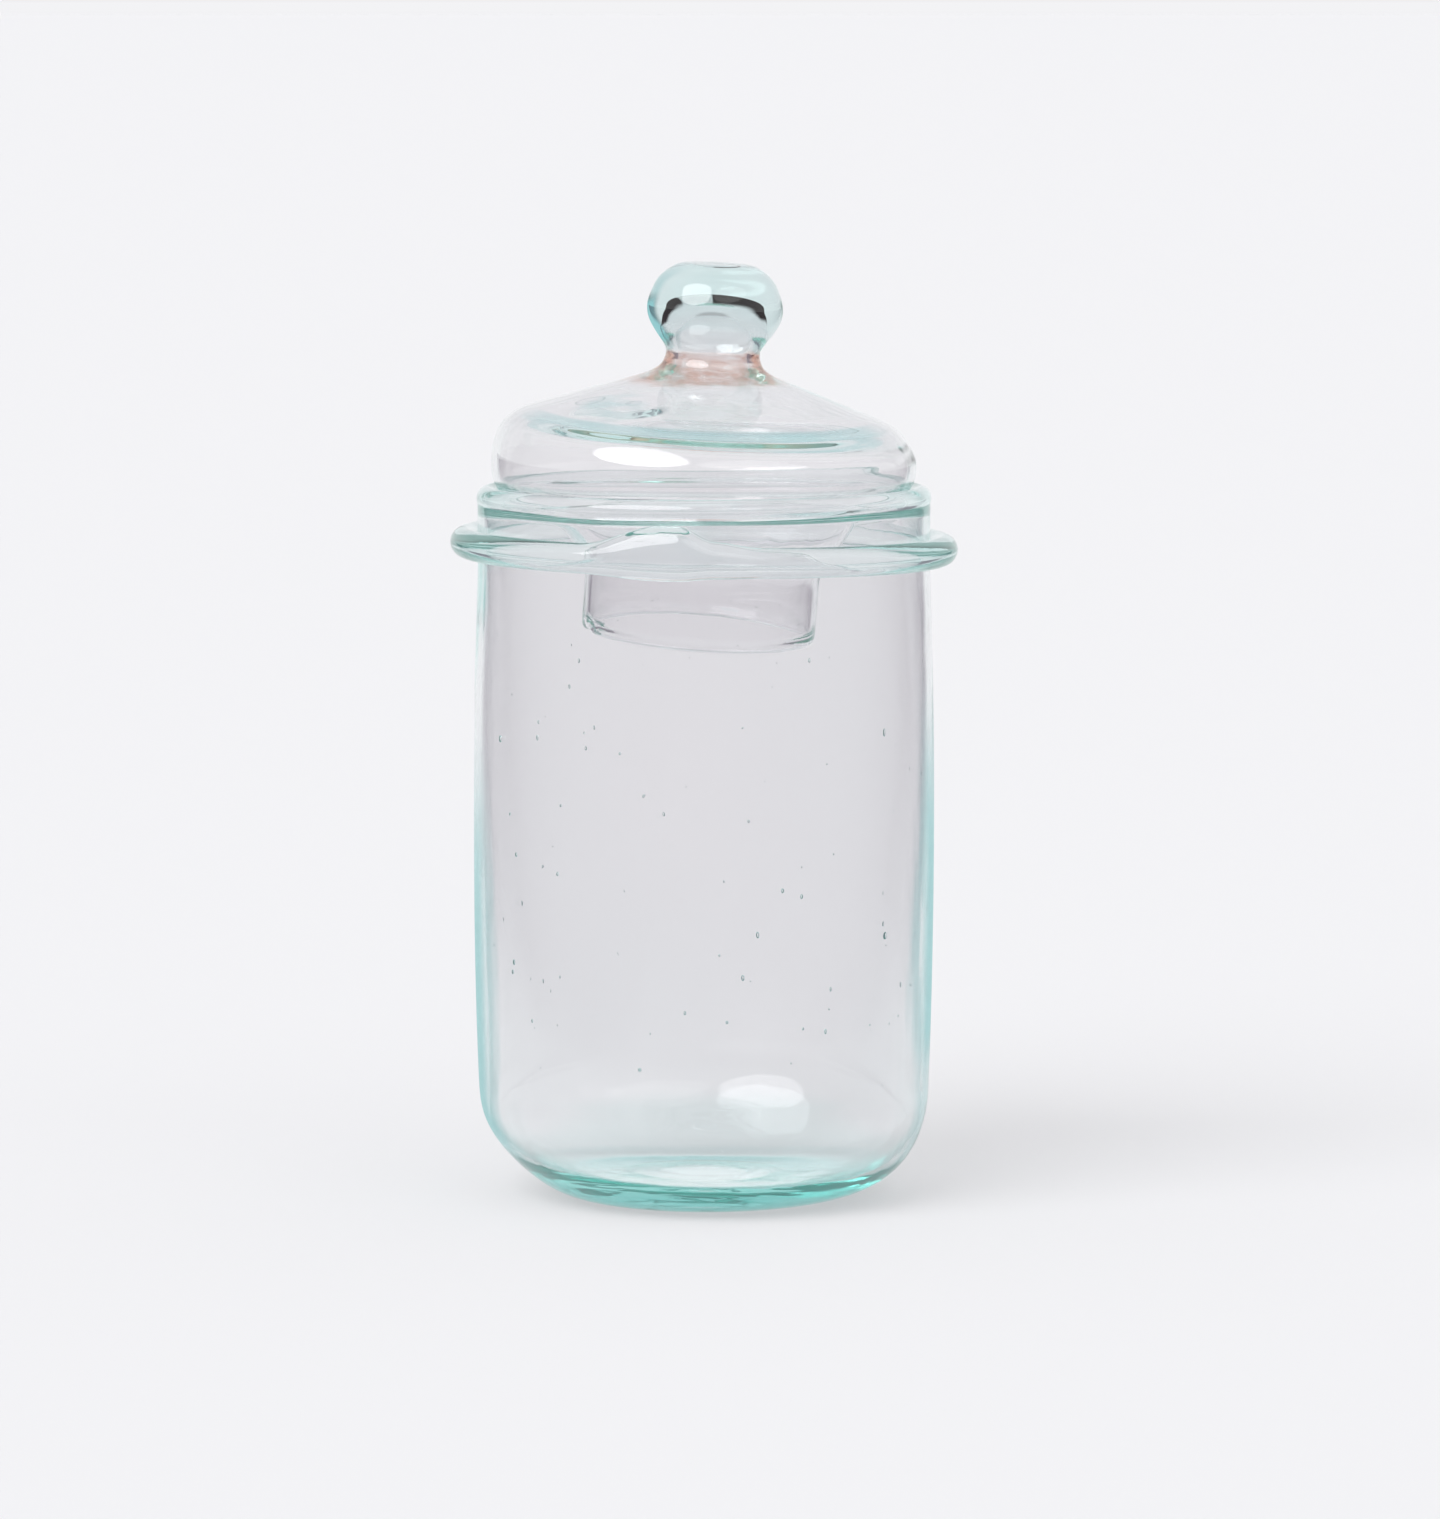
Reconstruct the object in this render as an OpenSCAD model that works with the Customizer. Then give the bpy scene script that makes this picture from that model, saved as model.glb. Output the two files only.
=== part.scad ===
// Hand-blown glass jar with a lift-off stopper lid.
// Millimetres, +Z up, origin at the centre of the ring the jar stands on, -Y is the front.

/* [Vessel] */
// Outer diameter of the wall at the neck
body_d = 119; // [110:0.5:130]
// How much the radius swells halfway up
body_swell = 1.3; // [0:0.1:3]
// Height of the middle of the rim trail
rim_h = 184.5; // [160:0.1:210]
// Wall thickness
wall = 2.4; // [2:0.1:3]
// Outer radius of the rounded heel
heel_r = 29; // [24:0.5:32]
// Glass thickness under the cavity
base_t = 5.6; // [4:0.1:8]
// Radius of the pushed-up middle of the base
punt_r = 21; // [18:0.5:22]
// Rise of the pushed-up middle of the base
punt_h = 4; // [2.5:0.1:5]

/* [Applied glass] */
// Thickness of the cord wound on the mouth
rim_cord_d = 6.6; // [5.6:0.1:7.2]
// Thickness of the cord wound on the neck
neck_cord_d = 7.9; // [6:0.1:9]
// Height of the neck cord below the rim cord
neck_drop = 12.4; // [11:0.1:16]
// Tilt of the neck cord, right side low
neck_cord_tilt = 1; // [0:0.1:1.5]
// Arc of the cord's tail, which laps over its own start
lap_angle = 32; // [20:1:45]
// Direction of the middle of the lap, 0 is +X
lap_azimuth = -99; // [-110:1:-80]
// Radius of the ring scar under the base
scar_r = 11; // [9:0.5:13]

/* [Lid] */
// Outer diameter of the lid's side
lid_d = 111.6; // [110.4:0.1:112]
// Thickness of the lid's glass
lid_wall = 2.1; // [1.8:0.1:2.6]
// Radius of the rounded edge that sits in the rim
seat_r = 7; // [6:0.1:7.5]
// Height of the straight part of the side
side_h = 2.3; // [1:0.1:6]
// Radius of the shoulder
shoulder_r = 13.5; // [11:0.1:14.5]
// Rise of the cone above the shoulder, in degrees
cone_slope = 19; // [16:0.1:20]
// Height of the funnel between the lid's seat and its collar
funnel_h = 17; // [12:0.5:20]
// Clearance between the lid's seat and the rim
seat_gap = 0.1; // [0.05:0.05:0.3]

/* [Knob and collar] */
// Width of the knob
knob_d = 35.6; // [32:0.2:38]
// Height of the knob above its widest ring
knob_up = 12.3; // [11:0.1:14]
// Outer diameter of the neck under the knob
knob_neck_d = 24.6; // [23:0.1:28]
// Width of the air pocket in the knob
pocket_d = 20; // [18:0.2:22]
// Outer diameter of the collar that dips into the jar
collar_d = 61.6; // [56:0.2:66]
// Height of the collar's free end, above the base
collar_end_h = 150; // [140:0.1:160]
// Lean of the knob and collar away from upright
lean = 3.2; // [0:0.1:4]
// Direction the knob leans towards, 0 is +X
lean_azimuth = -30; // [-90:1:0]

/* [Hidden] */
$fn = 96;
arc_steps = 12;
wall_steps = 14;

glass = [0.80, 0.93, 0.92, 0.5];
thick_glass = [0.55, 0.82, 0.79, 0.7];

body_r = body_d / 2;
rim_cord_r = rim_cord_d / 2;
neck_cord_r = neck_cord_d / 2;
rim_ring_r = body_r - 3;
neck_ring_r = body_r + neck_cord_r - 0.65;
neck_h = rim_h - neck_drop;
straight_h = neck_h - 7;
heel_in_r = heel_r - wall;

lid_r = lid_d / 2;
seat_ring_r = lid_r - seat_r;
seat_reach = seat_r + rim_cord_r + seat_gap;
seat_centre_z = rim_h + sqrt(pow(seat_reach, 2) - pow(rim_ring_r - seat_ring_r, 2));
lid_floor_z = seat_centre_z - seat_r;
shoulder_z = seat_centre_z + side_h;
shoulder_x = lid_r - shoulder_r;
neck_fillet_r = 4;
knob_neck_r = knob_neck_d / 2;
fillet_x = knob_neck_r + neck_fillet_r;
cone_top_x = shoulder_x + shoulder_r * sin(cone_slope);
cone_top_z = shoulder_z + shoulder_r * cos(cone_slope);
crown_z = cone_top_z + cone_top_x * tan(cone_slope);
fillet_z = crown_z - fillet_x * tan(cone_slope) + neck_fillet_r / cos(cone_slope);
throat_r = 8;

knob_r = knob_d / 2;
knob_centre_z = fillet_z + 12.8;
knob_down = 15.5;
pocket_r = pocket_d / 2;
pocket_centre_z = knob_centre_z - 3.6;
pocket_up = 6.5;

collar_r = collar_d / 2;
collar_bead_r = 1.6;
funnel_end_z = lid_floor_z - funnel_h;
funnel_end_r = collar_r + 1.3;
funnel_w = seat_ring_r - 1.5 - funnel_end_r;
funnel_curve = 1.35;
lean_pivot_z = rim_h - 8;

// Points on a circle from angle a to angle b
function arc(x, z, r, a, b, steps = arc_steps) =
    [for (i = [0:steps]) let (t = a + (b - a) * i / steps) [x + r * cos(t), z + r * sin(t)]];

// A smooth hill: height at the middle, 0 from the given radius out
function hill(r, radius, height) = r < radius ? height * (1 + cos(180 * r / radius)) / 2 : 0;

// Radius of the vessel's outside above the heel: swollen halfway up, straight behind the neck cord
function vessel_r(z) =
    let (middle = (heel_r + straight_h) / 2, half = (straight_h - heel_r) / 2)
    z > straight_h ? body_r : body_r + body_swell * (1 - pow((z - middle) / half, 2));

function vessel_outside() = concat(
    [for (i = [0:8]) let (r = punt_r * i / 8) [r, hill(r, punt_r, punt_h)]],
    arc(body_r - heel_r, heel_r, heel_r, -90, 0),
    [for (i = [1:wall_steps]) let (z = heel_r + (straight_h - heel_r) * i / wall_steps) [vessel_r(z), z]],
    [[body_r, rim_h]]
);

function vessel_inside() =
    let (floor_z = base_t + heel_in_r, flat_r = rim_ring_r - heel_in_r)
    concat(
        [[rim_ring_r, rim_h]],
        [for (i = [0:wall_steps - 1])
            let (z = straight_h - (straight_h - floor_z) * i / wall_steps) [vessel_r(z) - wall, z]],
        arc(flat_r, floor_z, heel_in_r, 0, -90),
        [for (i = [7:-1:0]) let (r = flat_r * i / 8) [r, base_t + hill(r, flat_r, punt_h - 0.6)]]
    );

module vessel_outline() {
    polygon(concat(vessel_outside(), vessel_inside()));
}

// The cord wound on the mouth
module rim_section() {
    translate([rim_ring_r, rim_h]) circle(rim_cord_r);
}

// Leans a part about the seat, towards lean_azimuth
module leaning() {
    translate([0, 0, lean_pivot_z])
        rotate([0, 0, lean_azimuth])
            rotate([0, lean, 0])
                rotate([0, 0, -lean_azimuth])
                    translate([0, 0, -lean_pivot_z]) children();
}

// A point of the funnel under the seat, t from 0 at the seat to 1 at the collar; inset gives its inner face
function funnel_point(t, inset) =
    let (slope = funnel_h * funnel_curve * pow(t, funnel_curve - 1), length = norm([funnel_w, slope]))
    [
        funnel_end_r + funnel_w * (1 - t) - inset * slope / length,
        lid_floor_z - funnel_h * pow(t, funnel_curve) + inset * funnel_w / length
    ];

// The outside of the lid's bubble, from the funnel's end over the seat and shoulder to the crown
function bubble_outside() = concat(
    [for (i = [10:-1:0]) funnel_point(i / 10, 0)],
    arc(seat_ring_r, seat_centre_z, seat_r, -90, 0),
    arc(shoulder_x, shoulder_z, shoulder_r, 0, 90 - cone_slope),
    [[0, crown_z]]
);

function bubble_inside() = concat(
    [[0, crown_z - lid_wall / cos(cone_slope)]],
    arc(shoulder_x, shoulder_z, shoulder_r - lid_wall, 90 - cone_slope, 0),
    arc(seat_ring_r, seat_centre_z, seat_r - lid_wall, 0, -90),
    [for (i = [0:9]) funnel_point(i / 10, lid_wall)],
    [[collar_r - lid_wall - 0.8, funnel_end_z]]
);

// An egg's outline beside the axis, with its own height above and below the centre
function egg(z, r, up, down, low, high, steps = 2 * arc_steps) =
    [for (i = [0:steps])
        let (t = low + (high - low) * i / steps) [r * cos(t), z + (t > 0 ? up : down) * sin(t)]];

// The knob, its neck and the foot that flares out over the crown, around an air pocket
module knob_outline() {
    neck_turn = acos(knob_neck_r / knob_r);
    foot = arc(fillet_x, fillet_z, neck_fillet_r, 270 - cone_slope, 180, 6);
    difference() {
        polygon(concat(
            [[0, fillet_z - 10], [foot[0][0], fillet_z - 10]],
            foot,
            egg(knob_centre_z, knob_r, knob_up + 1.3, knob_down, -neck_turn, 62),
            [[0, knob_centre_z + knob_up]]
        ));
        polygon(concat(
            [[0, fillet_z - 11], [throat_r, fillet_z - 11]],
            egg(pocket_centre_z, pocket_r, pocket_up, 6, -30, 90)
        ));
    }
}

module vessel() {
    color(glass) rotate_extrude() difference() {
        vessel_outline();
        rim_section();
    }
}

module rim_trail() {
    color(thick_glass) rotate_extrude() rim_section();
}

// The cord, and its tail laid over the start of the same cord
module cord_and_tail() {
    tail_r = neck_cord_r - 0.6;
    tail_rise = 3.9;
    tail_dive = 3;
    translate([0, 0, neck_h]) rotate([0, neck_cord_tilt, 0]) {
        rotate_extrude() translate([neck_ring_r, 0]) circle(neck_cord_r);
        translate([0, 0, tail_rise]) rotate([0, -tail_dive, 0])
            rotate([0, 0, lap_azimuth - lap_angle / 2]) {
                rotate_extrude(angle = lap_angle) translate([neck_ring_r, 0]) circle(tail_r);
                for (end = [0, lap_angle])
                    rotate([0, 0, end]) translate([neck_ring_r, 0, 0]) sphere(tail_r + 0.15);
            }
    }
}

module neck_trail() {
    color(thick_glass) difference() {
        cord_and_tail();
        translate([0, 0, straight_h]) cylinder(h = rim_h - straight_h, r = body_r);
    }
}

module pontil_scar() {
    color(thick_glass) rotate_extrude() difference() {
        translate([scar_r, hill(scar_r, punt_r, punt_h)]) circle(1.1);
        polygon(concat(vessel_outside(), [[0, rim_h]]));
    }
}

module lid_bubble() {
    color(glass) difference() {
        rotate_extrude() polygon(concat(bubble_outside(), bubble_inside()));
        leaning() translate([0, 0, crown_z - 15]) cylinder(h = 20, r = throat_r);
    }
}

module lid_knob() {
    color(thick_glass) difference() {
        leaning() rotate_extrude() knob_outline();
        rotate_extrude() polygon(concat([[0, funnel_end_z]], bubble_outside()));
    }
}

module lid_collar() {
    color(glass) difference() {
        leaning() rotate_extrude() {
            translate([collar_r - lid_wall, collar_end_h])
                square([lid_wall, funnel_end_z - collar_end_h + 4]);
            translate([collar_r - collar_bead_r, collar_end_h]) circle(collar_bead_r);
        }
        translate([0, 0, funnel_end_z]) cylinder(h = 20, r = lid_r);
    }
}

vessel();
rim_trail();
neck_trail();
pontil_scar();
lid_bubble();
lid_knob();
lid_collar();
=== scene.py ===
import math
import random

import bmesh
import bpy
import numpy as np
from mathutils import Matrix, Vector


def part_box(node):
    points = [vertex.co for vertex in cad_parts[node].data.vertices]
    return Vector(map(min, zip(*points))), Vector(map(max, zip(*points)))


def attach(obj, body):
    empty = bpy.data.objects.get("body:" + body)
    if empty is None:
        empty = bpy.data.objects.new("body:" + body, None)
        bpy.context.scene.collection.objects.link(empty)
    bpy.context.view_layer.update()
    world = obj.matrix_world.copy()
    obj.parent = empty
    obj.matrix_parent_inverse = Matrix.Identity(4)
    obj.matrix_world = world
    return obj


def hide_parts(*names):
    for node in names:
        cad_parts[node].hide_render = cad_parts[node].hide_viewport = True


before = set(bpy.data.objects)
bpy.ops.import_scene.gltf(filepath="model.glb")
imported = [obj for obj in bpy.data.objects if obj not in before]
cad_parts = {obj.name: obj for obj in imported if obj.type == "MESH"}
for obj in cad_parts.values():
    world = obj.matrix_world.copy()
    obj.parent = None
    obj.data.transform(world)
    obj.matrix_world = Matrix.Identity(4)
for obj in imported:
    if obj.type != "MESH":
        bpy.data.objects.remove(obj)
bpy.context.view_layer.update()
MM = 0.001
TURN = 2 * math.pi


# ---- Sizes in millimetres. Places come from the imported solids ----

def low_mm(node):
    """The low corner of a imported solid's box."""
    return np.array(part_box(node)[0]) / MM


def high_mm(node):
    """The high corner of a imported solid's box."""
    return np.array(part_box(node)[1]) / MM


SWELL = 1.3                         # how much the radius swells halfway up
BODY_R = high_mm("vessel")[0] - SWELL
HEEL_R = 29.0
FOOT_R = BODY_R - HEEL_R            # the heel's rounding starts here, and the jar stands inside it
PUNT_R, PUNT_H = 21.0, 2.8          # pushed-up middle of the base
FLOOR_RISE = PUNT_H - 0.6           # rise of the floor inside, over the pushed-up middle
SCAR_R = high_mm("pontil_scar")[0] - 1.1
SCAR_H, SCAR_WIDE = 0.4, 1.3

WALL_TOP, WALL_LOW = 2.3, 3.3       # hand-blown walls thicken towards the base
WALL_THICKENS = (15, 120)           # between these heights
HEEL_WALL = 2.4                     # but run thin again round the heel
HEEL_THINS, HEEL_THICKENS = (0, 26), (38, 92)       # between these degrees down its bend
HEEL_BACK = 0.55                    # except at the back, where this part of the gather stays in the heel
BASE_T = 5.5

RIM_LOW, RIM_HIGH = low_mm("rim_trail"), high_mm("rim_trail")
RIM_CORD_R = (RIM_HIGH[2] - RIM_LOW[2]) / 2
RIM_Z = (RIM_HIGH[2] + RIM_LOW[2]) / 2
RIM_RING_R = RIM_HIGH[0] - RIM_CORD_R

NECK_CORD_R = 3.95
NECK_SUNK = 0.65                    # how far the neck cord is sunk into the wall
NECK_RING_R = BODY_R + NECK_CORD_R - NECK_SUNK
NECK_TILT = math.radians(1.0)
NECK_Z = low_mm("neck_trail")[2] + NECK_CORD_R + NECK_RING_R * math.sin(NECK_TILT)
LAP_UP, LAP_DOWN, LAP_OUT = 5.2, 1.1, 0.15          # how much the lapped tail adds to the neck cord
LAP_RISE, LAP_FALL, LAP_END = (-33, -11), (-7, 3), (2, 15)  # its slopes, along the cord from the front
STRAIGHT_Z = NECK_Z - 7             # the wall is straight above this
FRONT = -math.pi / 2

LID_R = high_mm("lid_bubble")[0]
LID_WALL = 1.9
SEAT_R, SEAT_GAP = 7.0, 0.1
SEAT_RING_R = LID_R - SEAT_R
SEAT_Z = RIM_Z + math.sqrt((SEAT_R + RIM_CORD_R + SEAT_GAP) ** 2 - (RIM_RING_R - SEAT_RING_R) ** 2)
FLOOR_Z = SEAT_Z - SEAT_R           # lowest level of the rounded seat
SHOULDER_R = 13.5
SHOULDER_X = LID_R - SHOULDER_R
SHOULDER_Z = SEAT_Z + 2.3
CONE_SLOPE = 19
CONE = math.radians(CONE_SLOPE)
SHOULDER_BEND = 90 - CONE_SLOPE
KNOB_LOW, KNOB_HIGH = low_mm("lid_knob"), high_mm("lid_knob")
KNOB_R = (KNOB_HIGH[0] - KNOB_LOW[0]) / 2
KNOB_TOP = KNOB_HIGH[2]
KNOB_FOOT_R = 19.5
POCKET_TOP = KNOB_TOP - 10.8
FOLD_T, FOLD_R, FOLD_WIDE = 1.8, 47.5, 2.6          # fold of thicker glass round the shoulder
PATCH_T, PATCH_R, PATCH_WIDE = 2.1, 36.0, 6.0       # thick patch on the cone
PATCH_AT = math.radians(-133)
COLLAR_R = 30.8
COLLAR_BEAD_R = 1.4                 # fire-polished edge of the collar
COLLAR_TIP = 1.6 + COLLAR_R * math.sin(math.radians(3.2))   # how far its low side hangs down
COLLAR_END = low_mm("lid_collar")[2] + COLLAR_TIP
COLLAR_DIP = (-0.7, 1.6)            # unevenness of the collar's end along x and y
DROP_AT, DROP_R = math.radians(-163), 1.0           # a drop of glass hangs from the collar's end
FUNNEL_H = 20.0                     # height over which the lid's underside flows into the collar
LEAN_PIVOT_Z = RIM_Z - 8


# ---- Curves: arrays of [radius, height] ----

def arc(x, z, r, a, b, steps=12):
    """Points on a circle from angle a to angle b, in degrees."""
    angles = np.radians(np.linspace(a, b, steps + 1))
    return np.stack([x + r * np.cos(angles), z + r * np.sin(angles)], axis=1)


def through(points, steps=6):
    """A smooth curve through the given points (Catmull-Rom)."""
    p = np.array(points, float)
    p = np.vstack([2 * p[0] - p[1], p, 2 * p[-1] - p[-2]])
    out = []
    for k in range(1, len(p) - 2):
        for t in np.linspace(0, 1, steps, endpoint=False):
            out.append(0.5 * (2 * p[k] + (p[k + 1] - p[k - 1]) * t
                              + (2 * p[k - 1] - 5 * p[k] + 4 * p[k + 1] - p[k + 2]) * t ** 2
                              + (3 * p[k] - p[k - 1] - 3 * p[k + 1] + p[k + 2]) * t ** 3))
    out.append(p[-2])
    return np.array(out)


def eased(a, b, count):
    """From a to b, closer together at both ends."""
    return a + (b - a) * (1 - np.cos(np.linspace(0, np.pi, count))) / 2


def upright(r, heights):
    """A straight upright line at radius r."""
    return np.stack([np.full(len(heights), r), heights], 1)


def smoothstep(a, b, x):
    """0 below a, 1 above b, smooth between them."""
    t = np.clip((x - a) / (b - a), 0, 1)
    return t * t * (3 - 2 * t)


def hill(r, radius, height):
    """A round hill on the axis, level from the given radius out."""
    return height * (1 + np.cos(np.pi * np.minimum(r / radius, 1))) / 2


def bell(x, middle, wide):
    """1 at the middle, falling off to both sides."""
    return np.exp(-((x - middle) / wide) ** 2)


def around(theta, centre, width):
    """1 at the centre angle, falling smoothly to 0 at the given width either side."""
    off = abs((theta - centre + math.pi) % TURN - math.pi)
    return float(1 - smoothstep(0.3 * width, width, off))


def relax(p, rounds):
    """Rounds off the creases, as heat does, leaving both ends on the axis."""
    p = p.copy()
    for _ in range(rounds):
        p[1:-1] = p[1:-1] * 0.5 + (p[:-2] + p[2:]) * 0.25
    return p


def even_out(points, count):
    """The same curve with evenly spaced points."""
    run = np.concatenate([[0], np.cumsum(np.hypot(*np.diff(points, axis=0).T))])
    at = np.linspace(0, run[-1], count)
    return np.stack([np.interp(at, run, points[:, k]) for k in (0, 1)], axis=1)


def ripples(seed, count, lobes, tall):
    """Waves that close up around the turn, as a function of angle and height, for surfaces that wander."""
    rng = random.Random(seed)
    waves = [(rng.randint(1, lobes), rng.uniform(-TURN, TURN) / tall,
              rng.uniform(0, TURN), rng.uniform(0.4, 1)) for _ in range(count)]
    total = sum(size for _, _, _, size in waves)

    def height(theta, z):
        return sum(a * np.sin(m * theta + k * z + p) for m, k, p, a in waves) / total * RIPPLE_GAIN
    return height


RIPPLE_GAIN = 1.8                   # brings the sum of the waves near to 1 at its highest
OUTER_RIPPLE = ripples(11, 9, 5, 90)
INNER_RIPPLE = ripples(23, 11, 7, 70)
LID_RIPPLE = ripples(37, 9, 6, 40)
RIM_RIPPLE = ripples(41, 8, 9, 12)
OUTER_WAVE, INNER_WAVE, RIM_WAVE = 0.16, 0.32, 0.22
SHOULDER_WAVE, FUNNEL_WAVE = 0.12, 0.3


# ---- The jar ----

def wall_r(z):
    """Outer radius of the wall above the heel."""
    middle, half = (HEEL_R + STRAIGHT_Z) / 2, (STRAIGHT_Z - HEEL_R) / 2
    return BODY_R + SWELL * np.clip(1 - ((z - middle) / half) ** 2, 0, 1)


def wall_t(z):
    """Thickness of the wall above the heel."""
    return WALL_TOP + (WALL_LOW - WALL_TOP) * (1 - smoothstep(*WALL_THICKENS, z))


def base_section():
    """Under the base: the pushed-up middle with the scar's ring."""
    r = np.linspace(0, PUNT_R, 22)
    return np.stack([r, hill(r, PUNT_R, PUNT_H) - SCAR_H * bell(r, SCAR_R, SCAR_WIDE)], 1)


def lap_size(theta):
    """How much of the neck cord's lapped tail is at this angle, 0 to 1."""
    along = ((theta - FRONT + math.pi) % TURN - math.pi) * NECK_RING_R
    fall = 1 - 0.72 * smoothstep(*LAP_FALL, along) - 0.28 * smoothstep(*LAP_END, along)
    return smoothstep(*LAP_RISE, along) * fall


def neck_section(theta):
    """Outline of the neck cord where it stands out from the wall, bottom to top."""
    lap = lap_size(theta)
    up, down, out = (NECK_CORD_R + part * lap for part in (LAP_UP, LAP_DOWN, LAP_OUT))
    z = NECK_Z - NECK_RING_R * math.cos(theta) * math.sin(NECK_TILT)
    angles = np.radians(np.linspace(-180, 180, 241))
    tall = np.where(angles > 0, up, down)
    ring_r = NECK_RING_R - 0.1 * lap
    curve = np.stack([ring_r + out * np.cos(angles), z + tall * np.sin(angles)], axis=1)
    return even_out(curve[curve[:, 0] >= BODY_R - 0.05], 44)


def rim_section(theta):
    """The rim cord from the outside over the mouth to the inside, a little wavy on its lower side."""
    outer_foot, inner_foot = (math.degrees(math.acos((r - RIM_RING_R) / RIM_CORD_R))
                              for r in (BODY_R, BODY_R - WALL_TOP))
    rim = arc(RIM_RING_R, RIM_Z, RIM_CORD_R, -outer_foot, 360 - inner_foot, 46)
    low_side = np.clip((RIM_Z + 1 - rim[:, 1]) / RIM_CORD_R, 0, 1)
    return rim + RIM_WAVE * (low_side * RIM_RIPPLE(theta, rim[:, 1]))[:, None]


def inside_section(theta, top):
    """The wall's inside from the given height down, the heel's inside and the floor to the axis."""
    back = HEEL_BACK * smoothstep(-0.2, 0.8, math.sin(theta))
    down = eased(top, HEEL_R + back * BASE_T, 44)
    wall = np.stack([wall_r(down) - wall_t(down), down], 1)
    bend = np.linspace(2, 90, 27)
    thin = smoothstep(*HEEL_THINS, bend) * (1 - smoothstep(*HEEL_THICKENS, bend))
    thick = HEEL_WALL * thin + (1 - thin) * np.where(bend < 32, wall_t(HEEL_R), BASE_T)
    level = (HEEL_R - thick) * (1 - back) + (wall[-1, 0] - BODY_R + HEEL_R) * back
    sink = (HEEL_R - thick) * (1 - back) + HEEL_R * back
    heel = np.stack([FOOT_R + level * np.cos(np.radians(bend)),
                     HEEL_R + back * BASE_T - sink * np.sin(np.radians(bend))], 1)
    floor_r = np.linspace(FOOT_R - 1.5, 0, 16)
    floor = np.stack([floor_r, BASE_T + hill(floor_r, FOOT_R, FLOOR_RISE)], 1)
    return np.vstack([wall, heel, floor])


def heel_lean(points, theta):
    """The heel is rounder on the left than on the right."""
    r, z = points[:, 0], points[:, 1]
    amount = (0.2 - 1.0 * math.cos(theta)) * (bell(z, 8, 10) * smoothstep(30, 48, r))
    return np.stack([r - amount, z + 0.7 * amount], axis=1)


def wander(points, theta, ripple, size, rise, fall):
    """Moves a wall in and out by a ripple that fades in over the heights of rise and out over fall."""
    z = points[:, 1]
    free = smoothstep(*rise, z) * (1 - smoothstep(*fall, z))
    points[:, 0] += size * free * ripple(theta, z)
    return points


def jar_column(theta):
    """The jar's whole section at one angle, from under the base, over the mouth, to the floor inside."""
    trail, rim = neck_section(theta), rim_section(theta)
    up = eased(HEEL_R + 2, trail[0, 1] - 0.2, 40)
    heel = arc(FOOT_R, HEEL_R, HEEL_R, -90, 0, 26)
    outer = heel_lean(np.vstack([base_section(), heel, np.stack([wall_r(up), up], 1)]), theta)
    outer = wander(outer, theta, OUTER_RIPPLE, OUTER_WAVE, (12, 40), (STRAIGHT_Z - 15, STRAIGHT_Z))
    between = upright(BODY_R, eased(trail[-1, 1] + 0.2, rim[0, 1] - 0.2, 9))
    inner = heel_lean(inside_section(theta, rim[-1, 1] - 0.3), theta)
    inner = wander(inner, theta, INNER_RIPPLE, INNER_WAVE, (4, 30), (RIM_Z - 25, RIM_Z - 8))
    return relax(np.vstack([outer, trail, between, rim, inner]), 2)


# ---- The lid ----

def cone_z(r):
    """Height of the lid's conical top at radius r."""
    top_x, top_z = SHOULDER_X + SHOULDER_R * math.sin(CONE), SHOULDER_Z + SHOULDER_R * math.cos(CONE)
    return top_z + (top_x - r) * math.tan(CONE)


def cone_line(radii, drop=0.0):
    """The cone's surface at the given radii, or the line at a given drop below it."""
    return np.stack([radii, [cone_z(r) - drop for r in radii]], 1)


def knob_outline():
    """The knob from its flared foot to its flat top."""
    h = KNOB_TOP
    return through([
        (KNOB_FOOT_R, cone_z(KNOB_FOOT_R)), (15.9, cone_z(15.9) + 0.3),
        (13.6, h - 27.4), (12.6, h - 25.5), (12.3, h - 23.6), (12.9, h - 21.9), (15.1, h - 18.9),
        (17.1, h - 15.6), (KNOB_R, h - 12.6), (KNOB_R - 0.4, h - 9.6), (15.4, h - 4.9), (12.3, h - 2.0),
        (9.2, h - 0.55), (4.5, h - 0.25), (0, h - 0.1),
    ], 7)


def pocket_outline(drop):
    """The knob's air pocket from its top, down the throat to the underside of the cone."""
    top = POCKET_TOP
    return through([
        (0, top), (4.6, top - 0.3), (8.2, top - 1.6), (10.0, top - 4.2), (10.1, top - 7.0), (9.3, top - 10.4),
        (9.0, top - 13.0), (9.4, cone_z(12) + 1.0), (11.5, cone_z(11.5) - drop + 0.5),
        (15, cone_z(15) - drop), (20, cone_z(20) - drop),
    ], 7)


def thicken(inside, theta):
    """A fold of thicker glass round the front of the shoulder, and a thick patch on the cone."""
    r, z = inside[:, 0], inside[:, 1]
    fold = FOLD_T * bell(r, FOLD_R, FOLD_WIDE) * (z > SHOULDER_Z) * around(theta, FRONT, 1.5)
    patch = PATCH_T * bell(r, PATCH_R, PATCH_WIDE) * around(theta, PATCH_AT, 0.5)
    down = fold + patch
    return np.stack([r - 0.5 * down * (r > SHOULDER_X), z - down], axis=1)


def shoulder_inside(theta, drop):
    """The dome's inside, from the throat out over the shoulder to the seat."""
    cone = cone_line(np.linspace(22, SHOULDER_X - 1, 14), drop)
    inside = np.vstack([cone, arc(SHOULDER_X, SHOULDER_Z, SHOULDER_R - LID_WALL, SHOULDER_BEND, 0, 30)])
    inside = thicken(inside, theta)
    inside[:, 1] += SHOULDER_WAVE * LID_RIPPLE(theta, inside[:, 1] + inside[:, 0])
    return inside


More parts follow.
